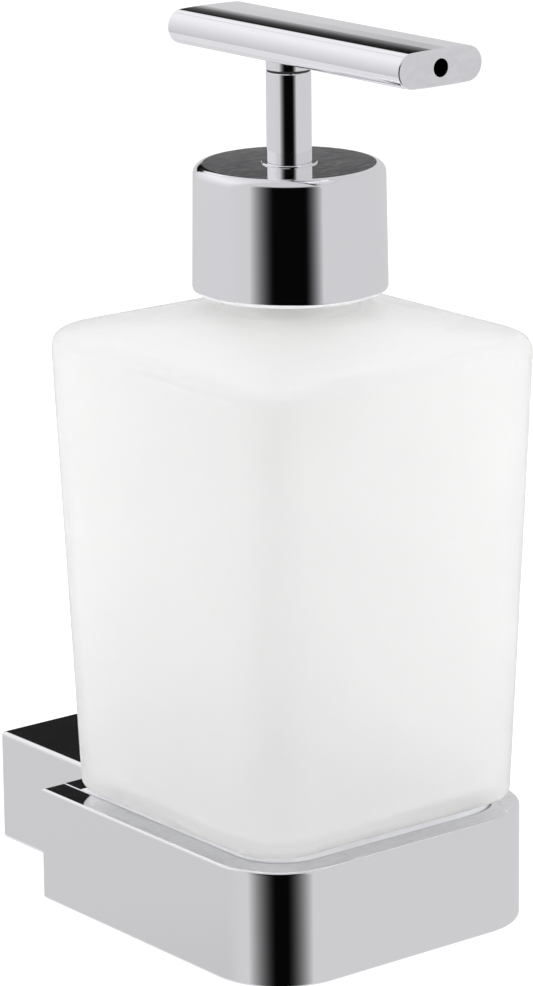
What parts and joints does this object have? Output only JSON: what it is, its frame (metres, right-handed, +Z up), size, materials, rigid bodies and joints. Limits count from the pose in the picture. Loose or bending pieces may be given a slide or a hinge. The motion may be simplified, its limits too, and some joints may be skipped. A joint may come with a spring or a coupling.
{
  "type": "wall mounted soap dispenser",
  "caption": "Wall mounted soap dispenser: tapered square frosted glass bottle with a press pump and flat spout bar, standing in a square chrome holder.",
  "frame": {"origin": "centre of the holder's back face, on the wall plane", "axes": "+X right for somebody facing the wall, -Y out of the wall, +Z up"},
  "size_m": [0.0708, 0.1136, 0.1746],
  "materials": {
    "holder_chrome": "polished chrome plate",
    "pump_chrome": "polished chrome plate",
    "bracket_zinc": "dull zinc casting",
    "screw_steel": "stainless steel",
    "frosted_glass": "acid etched outside, satin",
    "liner_plastic": "translucent satin plastic",
    "pump_plastic": "natural white polypropylene",
    "tube_plastic": "translucent polyethylene",
    "seal_rubber": "matt black rubber",
    "spring_steel": "drawn stainless wire",
    "ball_steel": "ground steel ball"
  },
  "bodies": {
    "holder": {"wall_bracket": "bracket_zinc", "bracket_post": "holder_chrome", "grub_screw": "screw_steel", "holder_band": "holder_chrome", "back_bar": "holder_chrome", "ring_screws": "screw_steel", "holder_liner": "liner_plastic"},
    "bottle": {"bottle": "frosted_glass", "neck_gasket": "seal_rubber"},
    "pump": {"pump_body": "pump_plastic", "chaplet": "pump_plastic", "dip_tube": "tube_plastic", "return_spring": "spring_steel"},
    "inlet_ball": {"inlet_ball": "ball_steel"},
    "collar": {"cap_shell": "pump_chrome", "closure_nut": "pump_plastic", "stem_guide": "pump_chrome"},
    "piston": {"piston_stem": "pump_plastic", "piston_seal": "seal_rubber", "valve_seat": "pump_plastic"},
    "outlet_ball": {"outlet_ball": "ball_steel"},
    "head": {"rod_sleeve": "pump_chrome", "head_washer": "seal_rubber", "spout_bar": "pump_chrome"}
  },
  "joints": [
    {"name": "bottle_lift", "type": "slide", "parent": "holder", "child": "bottle", "axis": [0, 0, 1], "range_m": [0, 0.045]},
    {"name": "pump_rise", "type": "slide", "parent": "bottle", "child": "pump", "axis": [0, 0, 1], "range_m": [0, 0.0038]},
    {"name": "collar_twist", "type": "hinge", "parent": "pump", "child": "collar", "pos_m": [0, -0.07, 0.12], "axis": [0, 0, 1], "range_deg": [0, 450]},
    {"name": "pump_press", "type": "slide", "parent": "pump", "child": "piston", "axis": [0, 0, -1], "range_m": [0, 0.015], "stiffness_N_per_m": 500, "springref_m": -0.012, "deforming": ["return_spring"]},
    {"name": "head_turn", "type": "hinge", "parent": "piston", "child": "head", "pos_m": [0, -0.07, 0.15], "axis": [0, 0, 1], "continuous": true},
    {"name": "inlet_ball_lift", "type": "slide", "parent": "pump", "child": "inlet_ball", "axis": [0, 0, 1], "range_m": [0, 0.0012]},
    {"name": "outlet_ball_lift", "type": "slide", "parent": "piston", "child": "outlet_ball", "axis": [0, 0, 1], "range_m": [0, 0.0012]}
  ],
  "couplings": [
    {"joint": "pump_rise", "follows": "collar_twist", "m_per_rad": 0.00047746}
  ]
}
